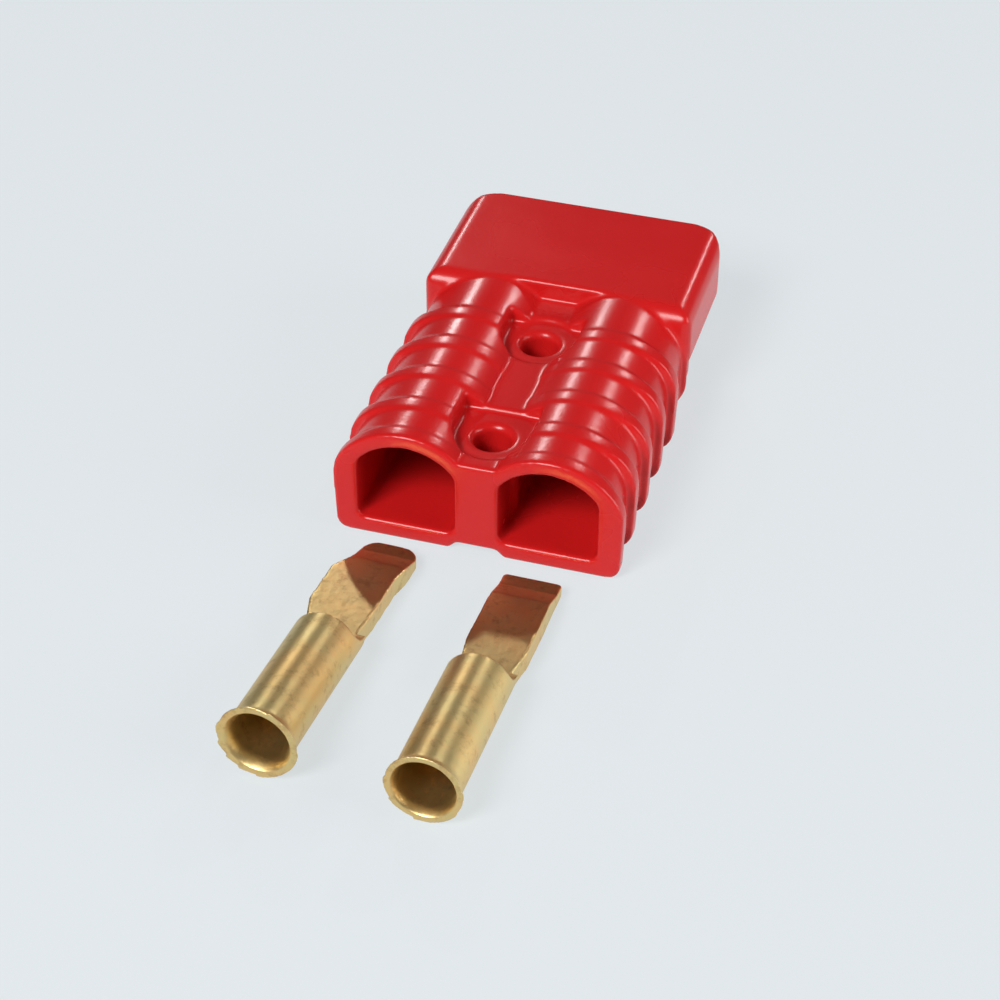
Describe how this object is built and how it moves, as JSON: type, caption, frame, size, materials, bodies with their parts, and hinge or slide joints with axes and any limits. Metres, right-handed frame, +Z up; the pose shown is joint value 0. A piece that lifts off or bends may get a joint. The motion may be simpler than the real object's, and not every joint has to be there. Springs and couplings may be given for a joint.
{
  "type": "genderless power connector",
  "caption": "Two-pole genderless power connector: ribbed moulded housing with leaf springs in its channels, and its crimp contacts taken out and laid in front.",
  "frame": {"origin": "midway between the two mounting holes, on the plane that the housing lies on", "axes": "+Y from the cable end to the mating end, +Z up through the mounting holes, +X to the right seen from the cable end"},
  "size_m": [0.0506, 0.1414, 0.0222],
  "materials": {
    "housing_plastic": "smooth moulded, glossy",
    "spring_steel": "bright rolled strip",
    "plated_copper": "thin plating over copper, satin, warm where it thins"
  },
  "bodies": {
    "root": {"housing": "housing_plastic", "left_spring": "spring_steel", "right_spring": "spring_steel", "left_contact": "plated_copper", "right_contact": "plated_copper"}
  },
  "joints": []
}
